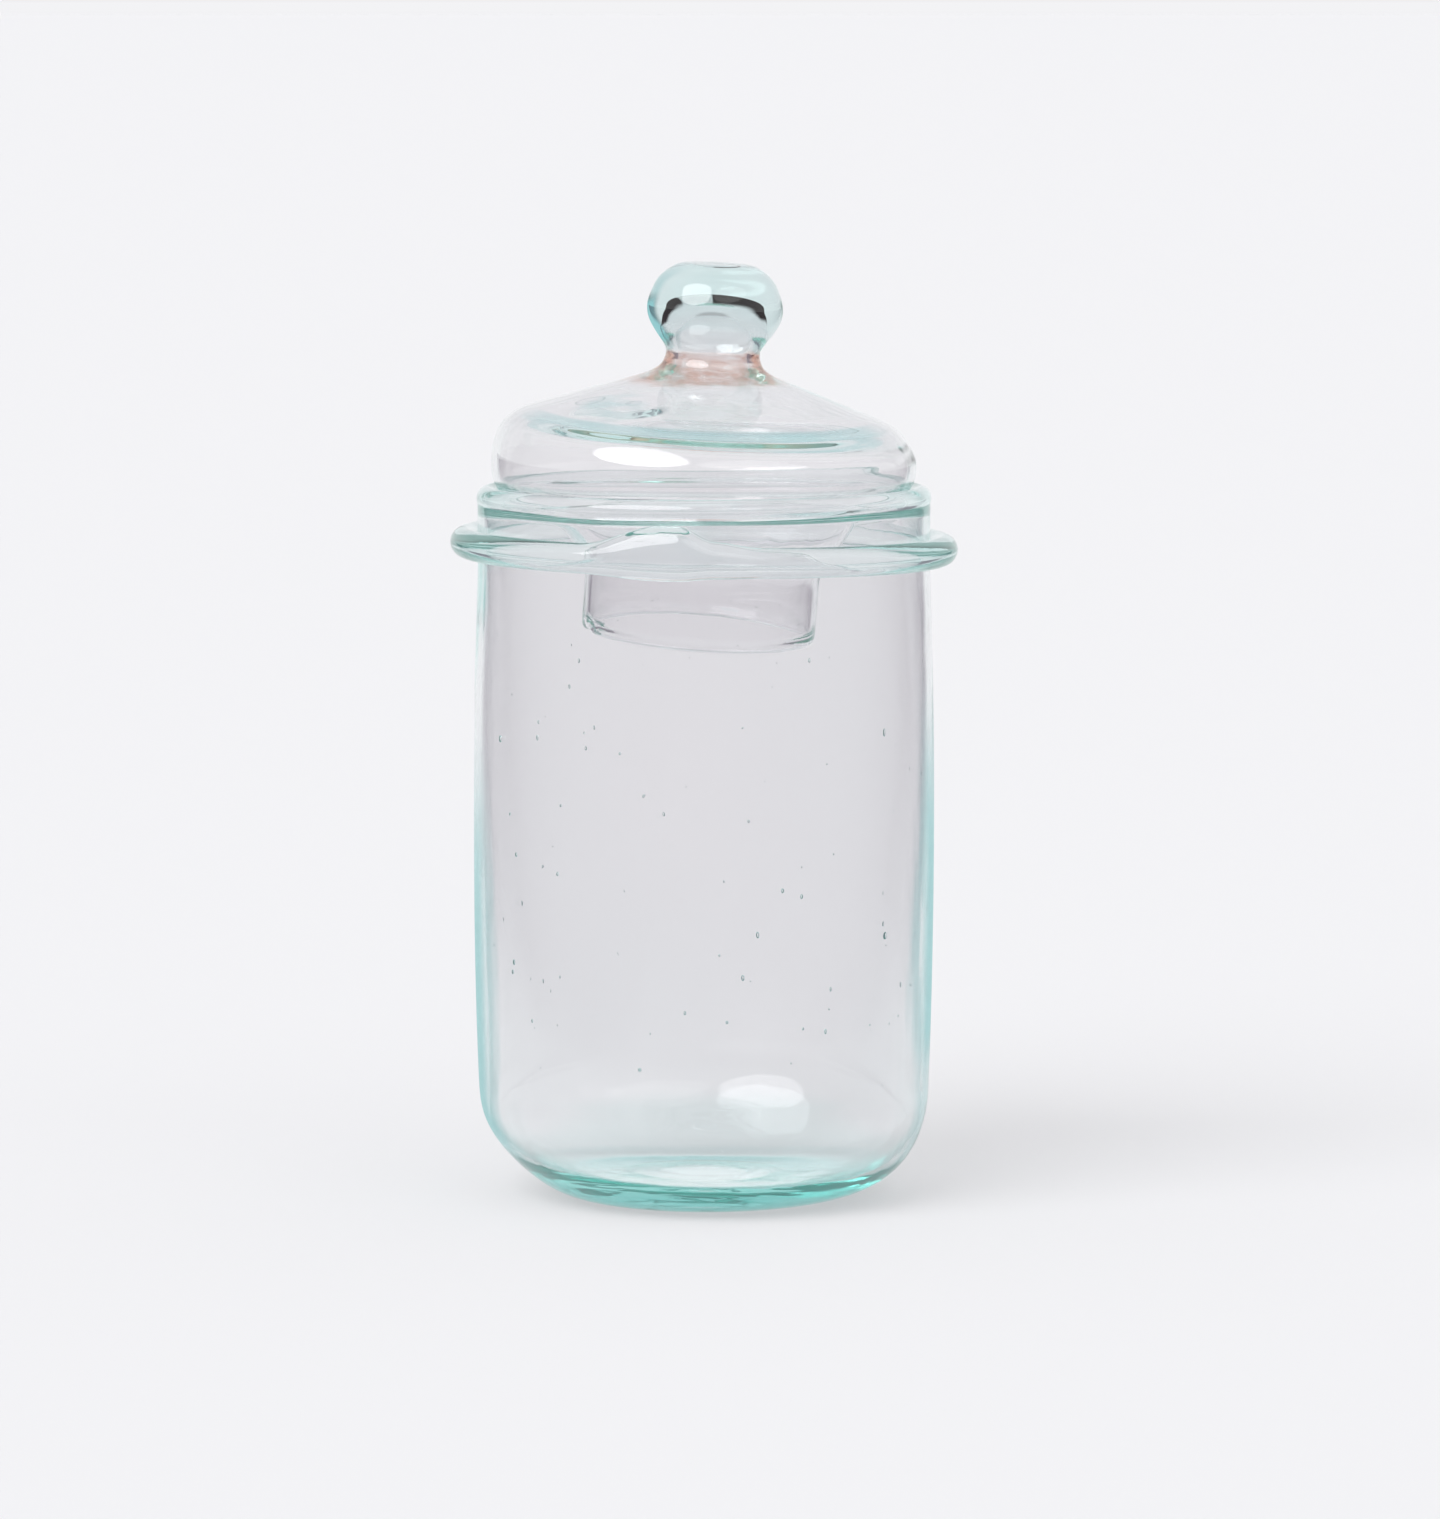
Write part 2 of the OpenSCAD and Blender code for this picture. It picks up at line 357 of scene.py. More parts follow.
def funnel(inset):
    """The underside of the lid, from the seat inwards and down to the collar; inset gives its inner face."""
    f = FLOOR_Z
    outer = through([(SEAT_RING_R - 1.5, f), (44.0, f - 1.3), (38.5, f - 7.6), (34.2, f - 13.4),
                     (31.7, f - 17.2), (COLLAR_R, f - FUNNEL_H)], 5)
    way = np.gradient(outer, axis=0)
    normal = np.stack([way[:, 1], -way[:, 0]], 1) / np.hypot(*way.T)[:, None]
    return outer + normal * inset


def collar_section(theta):
    """The collar down its inside, round its edge with the hanging drop, and up its outside."""
    end, high = COLLAR_END + 1.5, FLOOR_Z - FUNNEL_H
    bead_r = COLLAR_BEAD_R + DROP_R * around(theta, DROP_AT, 0.13)
    bead = arc(COLLAR_R - bead_r, COLLAR_END + bead_r - COLLAR_BEAD_R, bead_r, 170, 360, 14)
    inside = upright(COLLAR_R - LID_WALL, eased(high - 1, end, 12))
    return np.vstack([inside, bead, upright(COLLAR_R, eased(end, high - 1.5, 12))])


def lid_column(theta):
    """The lid's whole section, from the top of the air pocket, down the inside and up to the knob's top."""
    drop = LID_WALL / math.cos(CONE)
    seat_inside = arc(SEAT_RING_R, SEAT_Z, SEAT_R - LID_WALL, 0, -90, 12)
    funnel_inside = funnel(LID_WALL)
    funnel_inside[:, 1] += FUNNEL_WAVE * LID_RIPPLE(theta, funnel_inside[:, 0])
    seat = arc(SEAT_RING_R, SEAT_Z, SEAT_R, -90, 0, 16)
    shoulder = arc(SHOULDER_X, SHOULDER_Z, SHOULDER_R, 0, SHOULDER_BEND, 24)
    cone = cone_line(np.linspace(SHOULDER_X, KNOB_FOOT_R + 2, 9))
    inside = [pocket_outline(drop), shoulder_inside(theta, drop), seat_inside, funnel_inside]
    outside = [funnel(0)[::-1], seat, shoulder, cone, knob_outline()]
    return relax(np.vstack(inside + [collar_section(theta)] + outside), 2)


def lean_of_knob():
    """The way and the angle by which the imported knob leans."""
    knob = (KNOB_LOW + KNOB_HIGH) / 2
    return math.atan2(knob[1], knob[0]), math.atan2(math.hypot(knob[0], knob[1]), knob[2] - LEAN_PIVOT_Z)


LEAN_AZIMUTH, LEAN = lean_of_knob()


def lean_lid(points):
    """Leans the knob, shoulder and collar; the seat stays level in the mouth."""
    x, y, z = points[..., 0], points[..., 1], points[..., 2]
    ux, uy = math.cos(LEAN_AZIMUTH), math.sin(LEAN_AZIMUTH)
    along = x * ux + y * uy
    below = 1 - smoothstep(FLOOR_Z - 14, FLOOR_Z + 1, z)
    slide = smoothstep(SHOULDER_Z + 6, cone_z(20), z) + below
    tip = smoothstep(SEAT_Z - 1, SHOULDER_Z + 8, z) + below
    shift = (z - LEAN_PIVOT_Z) * math.sin(LEAN) * slide
    dip_x, dip_y = COLLAR_DIP
    sag = (dip_y * y + dip_x * x) / COLLAR_R * (1 - smoothstep(COLLAR_END, FLOOR_Z - 8, z))
    return np.stack([x + shift * ux, y + shift * uy, z - along * math.sin(LEAN) * tip + sag], axis=-1)


# ---- Turning columns into a closed skin ----

def angles_with_focus(count, focus, share, spread):
    """Angles all round, closer together about the focus."""
    fine = np.linspace(-spread, spread, int(count * share), endpoint=False) + focus
    coarse = np.linspace(spread, TURN - spread, count - len(fine), endpoint=False) + focus
    return np.concatenate([fine, coarse])


def turned(column, angles, bend=None):
    """Vertices (metres) and faces of a closed form; both ends of each column lie on the axis."""
    columns = np.array([column(a) for a in angles])
    x = columns[:, :, 0] * np.cos(angles)[:, None]
    y = columns[:, :, 0] * np.sin(angles)[:, None]
    points = np.stack([x, y, columns[:, :, 1]], axis=-1)
    if bend:
        points = bend(points)
    rows, spokes = points.shape[1] - 2, len(angles)
    verts = np.vstack([points[:, 1:-1].transpose(1, 0, 2).reshape(-1, 3),
                       points[:, 0].mean(0)[None], points[:, -1].mean(0)[None]]) * MM
    k, j = np.meshgrid(np.arange(rows - 1), np.arange(spokes), indexing="ij")
    n = (j + 1) % spokes
    quads = np.stack([k * spokes + j, k * spokes + n, (k + 1) * spokes + n, (k + 1) * spokes + j], -1)
    faces = [tuple(q) for q in quads.reshape(-1, 4).tolist()]
    first, last, end = rows * spokes, rows * spokes + 1, (rows - 1) * spokes
    for a in range(spokes):
        b = (a + 1) % spokes
        faces.append((first, b, a))
        faces.append((last, end + a, end + b))
    return verts, faces


def skin(name, verts, faces):
    """A smooth-shaded object made of the given vertices and faces."""
    mesh = bpy.data.meshes.new(name)
    mesh.from_pydata([tuple(v) for v in verts.tolist()], [], faces)
    mesh.polygons.foreach_set("use_smooth", [True] * len(mesh.polygons))
    mesh.update()
    piece = bpy.data.objects.new(name, mesh)
    bpy.context.scene.collection.objects.link(piece)
    return piece


# ---- Seeds: little bubbles of air shut in the wall ----

SEED_SMALLEST, SEED_DEEPEST = 0.09, 0.55


def inward_ball():
    """Vertices and inward faces of a ball of radius 1."""
    ball = bmesh.new()
    bmesh.ops.create_icosphere(ball, subdivisions=2, radius=1)
    shape = np.array([v.co for v in ball.verts])
    faces = [tuple(v.index for v in reversed(f.verts)) for f in ball.faces]
    ball.free()
    return shape, faces


def seeds(count, seed, biggest):
    """Vertices and inward faces of small bubbles in the middle of the jar's wall, drawn out upwards."""
    rng = random.Random(seed)
    shape, ball_faces = inward_ball()
    verts, faces = [], []
    for k in range(count):
        theta, z = rng.uniform(0, TURN), rng.uniform(HEEL_R + 5, STRAIGHT_Z - 8)
        size = biggest * rng.uniform(0.25, 1) ** 2.2 + SEED_SMALLEST
        middle = float(wall_r(z)) - 0.5 * wall_t(z)
        out = np.array([math.cos(theta), math.sin(theta), 0.0])
        side = np.array([-out[1], out[0], 0.0])
        bubble = (shape[:, :1] * out * min(size, SEED_DEEPEST) + shape[:, 1:2] * side * size
                  + shape[:, 2:] * np.array([0, 0, size * rng.uniform(1.0, 2.2)]))
        bubble = bubble + out * middle + np.array([0, 0, z])
        faces += [tuple(i + k * len(shape) for i in f) for f in ball_faces]
        verts.append(bubble * MM)
    return np.vstack(verts), faces


def together(*parts):
    """One set of vertices and faces out of several."""
    verts, faces, count = [], [], 0
    for part_verts, part_faces in parts:
        verts.append(part_verts)
        faces += [tuple(i + count for i in f) for f in part_faces]
        count += len(part_verts)
    return np.vstack(verts), faces


# ---- Shader helpers ----

class Shader:
    """Short names for the few maths nodes that the materials and the studio need."""

    def __init__(self, tree):
        self.nodes, self.links = tree.nodes, tree.links

    def feed(self, socket, value):
        if isinstance(value, (int, float)):
            socket.default_value = value
        elif isinstance(value, (tuple, Vector)):
            socket.default_value = tuple(value)
        else:
            self.links.new(value, socket)

    def maths(self, operation, a, b=0.0):
        node = self.nodes.new("ShaderNodeMath")
        node.operation = operation
        self.feed(node.inputs[0], a)
        self.feed(node.inputs[1], b)
        return node.outputs[0]

    def add(self, a, b):
        return self.maths("ADD", a, b)

    def minus(self, a, b):
        return self.maths("SUBTRACT", a, b)

    def times(self, a, *more):
        for b in more:
            a = self.maths("MULTIPLY", a, b)
        return a

    def less(self, value):
        return self.minus(1.0, value)

    def length(self, a, b):
        return self.maths("SQRT", self.add(self.times(a, a), self.times(b, b)))

    def dot(self, a, b):
        node = self.nodes.new("ShaderNodeVectorMath")
        node.operation = "DOT_PRODUCT"
        self.feed(node.inputs[0], a)
        self.feed(node.inputs[1], b)
        return node.outputs["Value"]

    def axes(self, vector):
        node = self.nodes.new("ShaderNodeSeparateXYZ")
        self.links.new(vector, node.inputs[0])
        return [node.outputs[k] for k in "XYZ"]

    def step(self, value, low, high):
        """0 below low, 1 above high, smooth between them."""
        node = self.nodes.new("ShaderNodeMapRange")
        node.interpolation_type = "SMOOTHSTEP"
        self.feed(node.inputs["Value"], value)
        node.inputs["From Min"].default_value = low
        node.inputs["From Max"].default_value = high
        return node.outputs[0]

    def band(self, value, low, high, soft):
        """1 between low and high, with soft shoulders outside them."""
        return self.times(self.step(value, low - soft, low), self.less(self.step(value, high, high + soft)))

    def reached(self, kind, depth):
        """1 once a ray has had this many Glossy, Transmission or Diffuse turns."""
        turns = self.nodes.new("ShaderNodeLightPath").outputs[kind + " Depth"]
        return self.step(turns, depth - 0.6, depth - 0.4)

    def mix(self, factor, a, b, blend="MIX"):
        node = self.nodes.new("ShaderNodeMix")
        node.data_type, node.blend_type = "RGBA", blend
        self.feed(node.inputs[0], factor)
        self.feed(node.inputs[6], a)
        self.feed(node.inputs[7], b)
        return node.outputs[2]

    def tint(self, colour, mask, streak):
        """Multiplies a colour by the streak's colour where the mask is 1."""
        return self.mix(mask, colour, streak, "MULTIPLY")

    def noise(self, where, scale, detail=3.0, stretch=(1, 1, 1)):
        mapping = self.nodes.new("ShaderNodeMapping")
        self.links.new(where, mapping.inputs["Vector"])
        mapping.inputs["Scale"].default_value = stretch
        node = self.nodes.new("ShaderNodeTexNoise")
        self.links.new(mapping.outputs[0], node.inputs["Vector"])
        node.inputs["Scale"].default_value = scale
        node.inputs["Detail"].default_value = detail
        return node.outputs["Fac"]


class Glass(Shader):
    """The shader of one skin, with the values that the glass's streaks are laid out by, in metres."""

    def __init__(self, tree):
        super().__init__(tree)
        self.where = self.nodes.new("ShaderNodeTexCoord").outputs["Object"]
        self.x, self.y, self.z = self.axes(self.where)
        self.radius = self.length(self.x, self.y)
        self.left, self.ahead = self.times(self.x, -1.0), self.times(self.y, -1.0)
        self.edge = self.nodes.new("ShaderNodeLayerWeight").outputs["Facing"]
        self.inside = self.nodes.new("ShaderNodeNewGeometry").outputs["Backfacing"]
        self.outside = self.less(self.inside)

    def trapped(self, low=0.26, high=0.40):
        """1 where light meets the skin from inside too flatly to get out."""
        return self.times(self.inside, self.step(self.edge, low, high))

    def first_turn(self):
        """1 until light has been turned back once inside the glass."""
        return self.less(self.reached("Glossy", 1))


# ---- Tints of the glass and where they lie: lengths in metres, pairs as (begins, is full) ----

CLEAR_TINT = (0.985, 0.968, 0.975, 1)
TEAL = (0.64, 0.90, 0.86, 1)
EDGE_TEAL = (0.37, 0.68, 0.68, 1)
FOLD_TEAL = (0.40, 0.74, 0.74, 1)
DEEP_TEAL = (0.26, 0.63, 0.65, 1)
STAIN = (0.78, 0.52, 0.44, 1)
NECK_BROWN = (0.74, 0.46, 0.36, 1)
POCKET_ARC_SHADE = (0.045, 0.036, 0.036, 1)      # painted shade: the dark arc over the knob's air pocket
ABSORB, JAR_DENSITY, LID_DENSITY = (0.35, 0.83, 0.78, 1), 14.0, 13.0
DARK = (0, 0, 0, 1)
INNER_GLOW = (0.006, 0.012, 0.012, 1)
STAIN_GLOW = (0.060, 0.030, 0.020, 1)
UPPER_GLOW = (0.011, 0.013, 0.0125, 1)

HEEL_REACH = (0.032, 0.037)         # by radius, less 1.2 times the height
HEEL_TOP = (0.0055, 0.0085)         # the rest are by height, unless they say otherwise
LOW_WALL = (-0.035, 0.03)           # below and above this height, which wanders:
LOW_WALL_REACH = 0.085
BASE_GLASS = (0.009, 0.015)
CORDS = (0.1655, 0.1675)
MIRROR_FOOT = (0.018, 0.034)        # the lower wall's mirror starts above the base
SHOULDER_UP = (SHOULDER_Z + 2) * MM, (SHOULDER_Z + 6) * MM
FOLD_BAND = (0.0450, 0.0481, 0.0014)                # inner and outer radius, and softness
SMEAR_X, SMEAR_Y = -0.024, -0.027   # middle of the thick patch on the cone
KNOB_FOOT_Z, KNOB_HIGH_Z = cone_z(KNOB_FOOT_R) * MM, KNOB_TOP * MM
GLINT_BAND = (-0.0033, 0.0022, 0.0004)              # left and right end, and softness


def low_wall(sh):
    """1 over the lower wall, reaching higher on the right than on the left."""
    streaks = sh.times(sh.noise(sh.where, 28.0, 2.0, (1, 1, 0.35)), 0.05)
    reach = sh.add(LOW_WALL_REACH, sh.add(streaks, sh.times(sh.x, 0.2)))
    return sh.less(sh.step(sh.minus(sh.z, reach), *LOW_WALL))


def heel_band(sh):
    """1 round the outside of the heel, stronger in front, with streaks."""
    heel = sh.times(sh.step(sh.minus(sh.radius, sh.times(sh.z, 1.2)), *HEEL_REACH),
                    sh.less(sh.step(sh.z, *HEEL_TOP)))
    front = sh.add(0.3, sh.times(sh.step(sh.ahead, -0.01, 0.02), 0.7))
    streaks = sh.add(0.55, sh.times(sh.noise(sh.where, 28.0, 2.0, (1, 1, 0.35)), 0.4))
    return sh.times(heel, front, streaks)


def jar_tint(sh):
    """Clear glass, tealer where it is thick: round the heel, up the lower wall's edges, cords and base."""
    colour = sh.tint(CLEAR_TINT, heel_band(sh), DEEP_TEAL)
    colour = sh.tint(colour, sh.times(sh.step(sh.edge, 0.66, 0.85), low_wall(sh)), EDGE_TEAL)
    cords = sh.times(sh.step(sh.z, *CORDS), sh.step(sh.edge, 0.45, 0.95))
    colour = sh.tint(colour, sh.times(cords, 0.6), TEAL)
    base = sh.less(sh.step(sh.minus(sh.z, sh.times(sh.y, 0.10)), *BASE_GLASS))
    return sh.tint(colour, sh.times(base, 0.24), TEAL)


def jar_mirror(sh):
    """1 where the lower wall's edges turn light back teal: from inside, and off the very edge outside."""
    flat = sh.add(sh.trapped(0.25, 0.32), sh.times(sh.outside, sh.step(sh.edge, 0.62, 0.85), 0.7))
    above_base = sh.step(sh.minus(sh.z, sh.times(sh.x, 0.22)), *MIRROR_FOOT)
    return sh.times(flat, low_wall(sh), sh.first_turn(), above_base)


def jar_mirror_colour(_):
    """The same teal everywhere."""
    return EDGE_TEAL


def jar_glow(sh):
    """Colour of the light trapped in the jar's glass."""
    return sh.mix(low_wall(sh), UPPER_GLOW, INNER_GLOW)


def neck_zone(sh):
    """1 about the knob's neck and foot."""
    height = sh.band(sh.z, KNOB_FOOT_Z - 0.001, KNOB_FOOT_Z + 0.006, 0.003)
    return sh.times(height, sh.less(sh.step(sh.radius, 0.019, 0.024)))


def fold_streak(sh):
    """1 in the fold of glass round the front of the shoulder, seen from inside."""
    ring = sh.times(sh.band(sh.radius, *FOLD_BAND), sh.step(sh.z, *SHOULDER_UP))
    return sh.times(ring, sh.step(sh.ahead, 0.004, 0.026), sh.inside)


def smear(sh):
    """1 in the broken streaks of the thick patch on the cone."""
    off = sh.length(sh.minus(sh.x, SMEAR_X), sh.minus(sh.y, SMEAR_Y))
    patch = sh.times(sh.less(sh.step(off, 0.005, 0.012)), sh.step(sh.z, *SHOULDER_UP))
    return sh.times(patch, sh.step(sh.noise(sh.where, 70.0, 3.0, (0.5, 0.5, 3)), 0.42, 0.62))


def stain(sh):
    """1 in the speckled stain at the knob's neck."""
    speckle = sh.step(sh.noise(sh.where, 190.0, 4.0, (1, 1, 2.5)), 0.3, 0.62)
    return sh.times(neck_zone(sh), sh.add(0.3, sh.times(sh.step(sh.edge, 0.1, 0.5), 0.7)), speckle)


def knob_edge(sh):
    """1 at the knob's edges, strongest on the left."""
    knob = sh.times(sh.step(sh.z, KNOB_FOOT_Z + 0.010, KNOB_FOOT_Z + 0.014), sh.step(sh.edge, 0.42, 0.62))
    return sh.times(knob, sh.add(0.1, sh.times(sh.step(sh.left, 0.002, 0.016), 0.8)))


def lid_tint(sh):
    """Clear glass with teal streaks in fold and patch, a stained neck and a darker left edge to the knob."""
    drift = sh.noise(sh.where, 40.0, 3.0, (1, 1, 0.6))
    colour = sh.tint(CLEAR_TINT, sh.times(fold_streak(sh), sh.add(0.35, drift)), FOLD_TEAL)
    colour = sh.tint(colour, sh.times(smear(sh), 0.8), FOLD_TEAL)
    colour = sh.tint(colour, stain(sh), STAIN)
    return sh.tint(colour, knob_edge(sh), DEEP_TEAL)


def leaned_radius(sh):
    """Distance from the leaning axis of the knob."""
    slide = sh.times(sh.minus(sh.z, LEAN_PIVOT_Z * MM), math.sin(LEAN))
    return sh.length(sh.minus(sh.x, sh.times(slide, math.cos(LEAN_AZIMUTH))),
                     sh.minus(sh.y, sh.times(slide, math.sin(LEAN_AZIMUTH))))


def pocket_crown(sh):
    """1 on the upper skin of the knob's air pocket, where the dark arc of painted shade lies, less where a
    glint breaks it.
    """
    pocket = sh.less(sh.step(leaned_radius(sh), 0.0108, 0.0118))
    crown = sh.band(sh.z, KNOB_HIGH_Z - 0.0136, KNOB_HIGH_Z - 0.0104, 0.0006)
    return sh.times(crown, pocket, sh.less(sh.times(sh.band(sh.x, *GLINT_BAND), 0.75)))


def knob_left(sh):
    """1 on the outer skin at the knob's left edge."""
    return sh.times(sh.outside, sh.step(sh.edge, 0.45, 0.62), sh.less(sh.step(sh.x, -0.010, -0.006)),
                    sh.band(sh.z, KNOB_HIGH_Z - 0.019, KNOB_HIGH_Z - 0.011, 0.004))


def lid_mirror(sh):
    """1 where the pocket's crown gets painted shade from a near-black mirror, the neck turns light back brown
    and the knob's left edge teal.
    """
    crown = sh.times(pocket_crown(sh), sh.trapped(0.54, 0.66))
    neck = sh.times(neck_zone(sh), sh.trapped(), 0.9)
    return sh.times(sh.first_turn(), sh.add(sh.add(crown, neck), sh.times(knob_left(sh), 0.75)))


def lid_mirror_colour(sh):
    """Nearly black in the pocket's crown, as painted shade, brown at the neck and teal at the knob's left
    edge.
    """
    return sh.mix(knob_left(sh), sh.mix(neck_zone(sh), POCKET_ARC_SHADE, NECK_BROWN), DEEP_TEAL)


def lid_glow(sh):
    """Colour of the light trapped in the lid's glass."""
    return sh.mix(neck_zone(sh), UPPER_GLOW, STAIN_GLOW)


# ---- Glass ----

def clear_skin(sh, tint, glow):
    """Smooth glass with faint unevenness in its skin and a faint glow of light trapped in it."""
    shader = sh.nodes["Principled BSDF"]
    sh.feed(shader.inputs["Base Color"], tint)
    shader.inputs["Roughness"].default_value = 0.0
    shader.inputs["IOR"].default_value = 1.5
    shader.inputs["Transmission Weight"].default_value = 1.0
    bump = sh.nodes.new("ShaderNodeBump")
    bump.inputs["Strength"].default_value = 0.25
    bump.inputs["Distance"].default_value = 0.0006
    sh.links.new(sh.noise(sh.where, 60.0, 2.0, (1, 1, 0.3)), bump.inputs["Height"])
    sh.links.new(bump.outputs[0], shader.inputs["Normal"])
    sh.feed(shader.inputs["Emission Color"], sh.mix(sh.trapped(), DARK, glow))
    shader.inputs["Emission Strength"].default_value = 1.0
    return shader.outputs[0]


def tinted_mirror(sh, colour):
    """What the glass's own reflection is mixed with where it is tinted."""
    mirror = sh.nodes.new("ShaderNodeBsdfAnisotropic")
    mirror.inputs["Roughness"].default_value = 0.0
    sh.feed(mirror.inputs["Color"], colour)
    return mirror.outputs[0]


def glass_material(name, density, tint, glow, mirror, mirror_colour):
    """Hand-blown glass, coloured through by its thickness."""
    mat = bpy.data.materials.new(name)
    mat.use_nodes = True
    sh = Glass(mat.node_tree)
    output = sh.nodes["Material Output"]
    blend = sh.nodes.new("ShaderNodeMixShader")
    sh.feed(blend.inputs[0], mirror(sh))
    sh.links.new(clear_skin(sh, tint(sh), glow(sh)), blend.inputs[1])
    sh.links.new(tinted_mirror(sh, mirror_colour(sh)), blend.inputs[2])
    sh.links.new(blend.outputs[0], output.inputs["Surface"])
    volume = sh.nodes.new("ShaderNodeVolumeAbsorption")
    volume.inputs["Color"].default_value = ABSORB
    volume.inputs["Density"].default_value = density
    sh.links.new(volume.outputs[0], output.inputs["Volume"])
    return mat


# ---- Stage ----

FLOOR_SIZE = 400.0                     # half its width in metres, so that its edge is out of sight
FLOOR_PAPER = (0.345, 0.345, 0.348, 1)
FLOOR_GLOW = (0.455, 0.455, 0.464, 1)
UNDER_GLOW = (0.92, 0.92, 0.93, 1)     # light that the jar gathers beneath itself
UNDER_JAR = (0.03, 0.056)              # by distance from the jar's axis, in metres
SHADE_START, SHADE_END = -0.12, -0.40
WORLD_BACK = (0.895, 0.895, 0.912, 1)
WORLD_FRONT = (0.28, 0.245, 0.29, 1)
WORLD_HIGH = (0.74, 0.74, 0.77, 1)
WORLD_TOP = (0.50, 0.49, 0.51, 1)
KEY, FILL = (6.2, 6.2, 6.2 * 1.01, 1), (1.9, 1.9, 1.9, 1)
KEY_BOX = (-39, 41, 0.48, 0.38)        # azimuth and elevation in degrees, half its width and height
FILL_BOX = (33, 40, 0.55, 0.24)
DIMMED = 0.42                          # part of the soft boxes lost on the way through the jar
CAMERA_AT, CAMERA_AIM = (0, -1.92, 0.3123), (0.0042, 0, 0.1154)
CAMERA_LENS = 173.5


def towards(azimuth, elevation):
    """Unit vector; azimuth 0 is in front, towards the camera, and 90 is the object's right."""
    a, e = math.radians(azimuth), math.radians(elevation)
    return Vector((math.sin(a) * math.cos(e), -math.cos(a) * math.cos(e), math.sin(e)))


def softbox(sh, way, azimuth, elevation, wide, tall):
    """1 inside a far-off oval seen from the object, with soft edges."""
    middle = towards(azimuth, elevation)
    right = Vector((0, 0, 1)).cross(middle).normalized()
    up = middle.cross(right)
    ahead = sh.dot(way, middle)
    across = sh.maths("DIVIDE", sh.dot(way, right), sh.times(ahead, wide))
    along = sh.maths("DIVIDE", sh.dot(way, up), sh.times(ahead, tall))
    inside = sh.less(sh.step(sh.length(across, along), 0.86, 1.0))
    return sh.times(inside, sh.maths("GREATER_THAN", ahead, 0.0))


def floor_light(sh, x, y):
    """1 where the floor is lit; for rays that glass has reflected it falls into shade towards the camera."""
    front = sh.less(sh.step(y, SHADE_END, SHADE_START))
    beside = sh.minus(sh.maths("ABSOLUTE", x), sh.times(y, 0.5))
    shade = sh.maths("MAXIMUM", front, sh.step(beside, -SHADE_START, -SHADE_END))
    return sh.less(sh.times(sh.reached("Glossy", 1), shade))


def floor_material():
    """Matt paper, lit a little from below as on a shooting table."""
    mat = bpy.data.materials.new("pale_floor")
    mat.use_nodes = True
    sh = Shader(mat.node_tree)
    x, y, _ = sh.axes(sh.nodes.new("ShaderNodeNewGeometry").outputs["Position"])
    lit = floor_light(sh, x, y)
    under_jar = sh.less(sh.step(sh.length(x, y), *UNDER_JAR))
    glow = sh.mix(sh.times(sh.reached("Transmission", 1), under_jar), FLOOR_GLOW, UNDER_GLOW)
    shader = sh.nodes["Principled BSDF"]
    sh.feed(shader.inputs["Base Color"], sh.mix(lit, DARK, FLOOR_PAPER))
    shader.inputs["Roughness"].default_value = 1.0
    shader.inputs["Specular IOR Level"].default_value = 0.0
    sh.feed(shader.inputs["Emission Color"], sh.mix(lit, WORLD_FRONT, glow))
    shader.inputs["Emission Strength"].default_value = 1.0
    return mat


def build_stage():
    """A wide floor; the studio's back is as pale as the floor, so they meet without a line."""
    corners = [(-FLOOR_SIZE, -FLOOR_SIZE, 0), (FLOOR_SIZE, -FLOOR_SIZE, 0),
               (FLOOR_SIZE, FLOOR_SIZE, 0), (-FLOOR_SIZE, FLOOR_SIZE, 0)]
    mesh = bpy.data.meshes.new("floor")
    mesh.from_pydata(corners, [], [(0, 1, 2, 3)])
    floor = bpy.data.objects.new("floor", mesh)
    bpy.context.scene.collection.objects.link(floor)
    mesh.materials.append(floor_material())


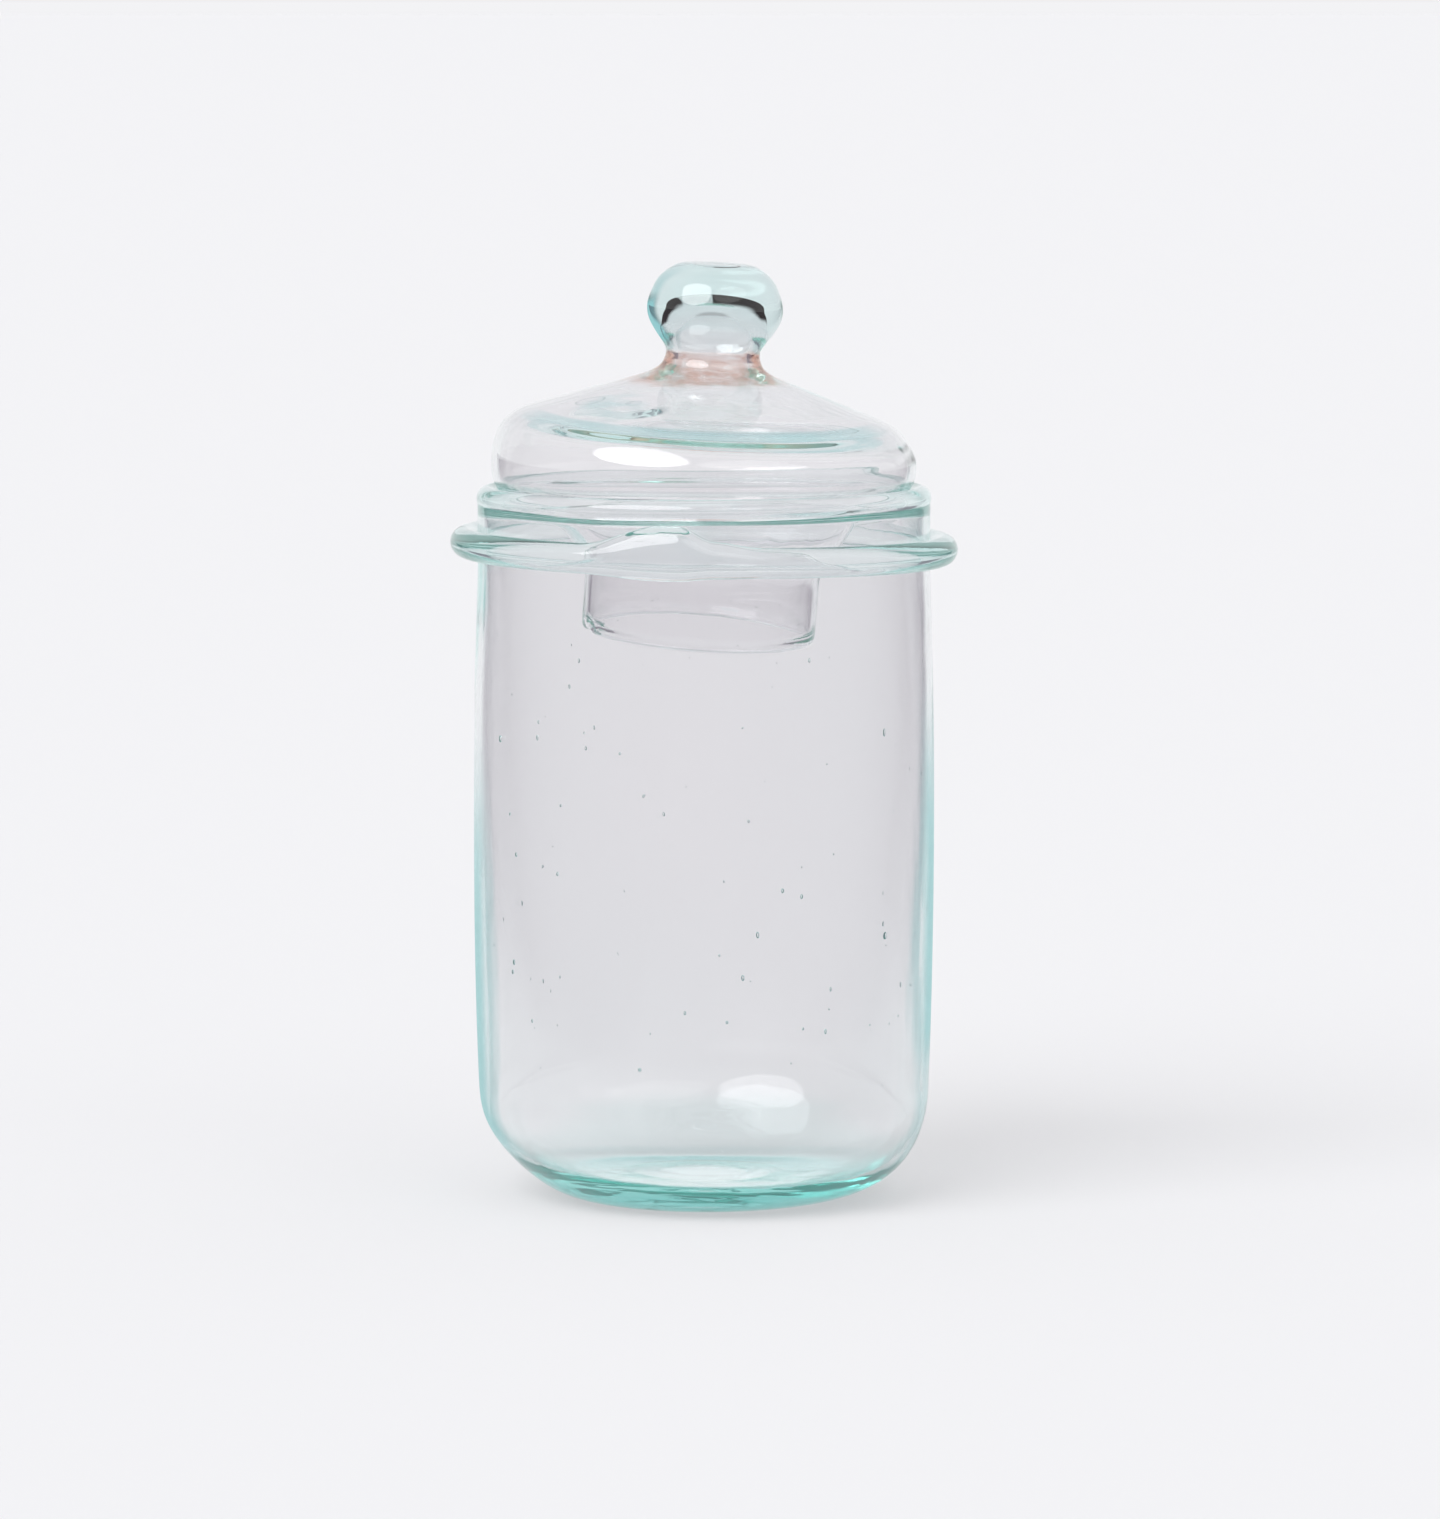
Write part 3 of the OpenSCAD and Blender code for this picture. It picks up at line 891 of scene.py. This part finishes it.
def build_world():
    """A pale studio, dimmer behind the camera and dark overhead, with two soft boxes in front."""
    world = bpy.data.worlds.new("studio")
    bpy.context.scene.world = world
    world.use_nodes = True
    sh = Shader(world.node_tree)
    way = sh.nodes.new("ShaderNodeTexCoord").outputs["Generated"]
    _, y, z = sh.axes(way)
    front = sh.times(sh.reached("Glossy", 1), sh.less(sh.step(y, -0.85, -0.1)))
    colour = sh.mix(front, WORLD_BACK, WORLD_FRONT)
    colour = sh.mix(sh.step(z, 0.02, 0.45), colour, sh.mix(0.85, colour, WORLD_HIGH))
    colour = sh.mix(sh.step(z, 0.90, 0.965), colour, WORLD_TOP)
    boxes = sh.mix(softbox(sh, way, *KEY_BOX), colour, KEY)
    boxes = sh.mix(softbox(sh, way, *FILL_BOX), boxes, FILL)
    through_jar = sh.times(sh.reached("Transmission", 2), sh.less(sh.reached("Diffuse", 1)))
    colour = sh.mix(sh.times(through_jar, DIMMED), boxes, colour)
    sh.links.new(colour, sh.nodes["Background"].inputs["Color"])


def build_camera():
    """A long lens a little above the jar, at the photo's angle."""
    cam = bpy.data.objects.new("camera", bpy.data.cameras.new("camera"))
    bpy.context.scene.collection.objects.link(cam)
    cam.location = CAMERA_AT
    cam.rotation_mode = "QUATERNION"
    cam.rotation_quaternion = (Vector(CAMERA_AIM) - cam.location).to_track_quat("-Z", "Y")
    cam.data.lens = CAMERA_LENS
    bpy.context.scene.camera = cam


def set_up_light():
    """Plain colours, and enough bounces for light that turns many times in thick glass."""
    scene = bpy.context.scene
    scene.view_settings.view_transform = "Standard"
    scene.cycles.max_bounces = 32
    scene.cycles.transmission_bounces = 32
    scene.cycles.glossy_bounces = 32
    scene.cycles.sample_clamp_indirect = 6


# ---- The scene ----

def build_jar():
    """The jar: one fused skin of glass with seeds in its wall."""
    wall = turned(jar_column, angles_with_focus(320, FRONT - 0.16, 0.35, 0.55))
    small, large = seeds(110, 5, 0.36), seeds(16, 8, 0.75)
    jar = skin("jar_glass", *together(wall, small, large))
    jar.data.materials.append(
        glass_material("jar_glass", JAR_DENSITY, jar_tint, jar_glow, jar_mirror, jar_mirror_colour))
    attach(jar, "jar")
    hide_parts("vessel", "rim_trail", "neck_trail", "pontil_scar")


def build_lid():
    """The lid: one fused skin of glass."""
    lid = skin("lid_glass", *turned(lid_column, np.linspace(0, TURN, 256, endpoint=False), lean_lid))
    lid.data.materials.append(
        glass_material("lid_glass", LID_DENSITY, lid_tint, lid_glow, lid_mirror, lid_mirror_colour))
    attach(lid, "lid")
    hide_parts("lid_bubble", "lid_knob", "lid_collar")


build_jar()
build_lid()
build_stage()
build_world()
build_camera()
set_up_light()
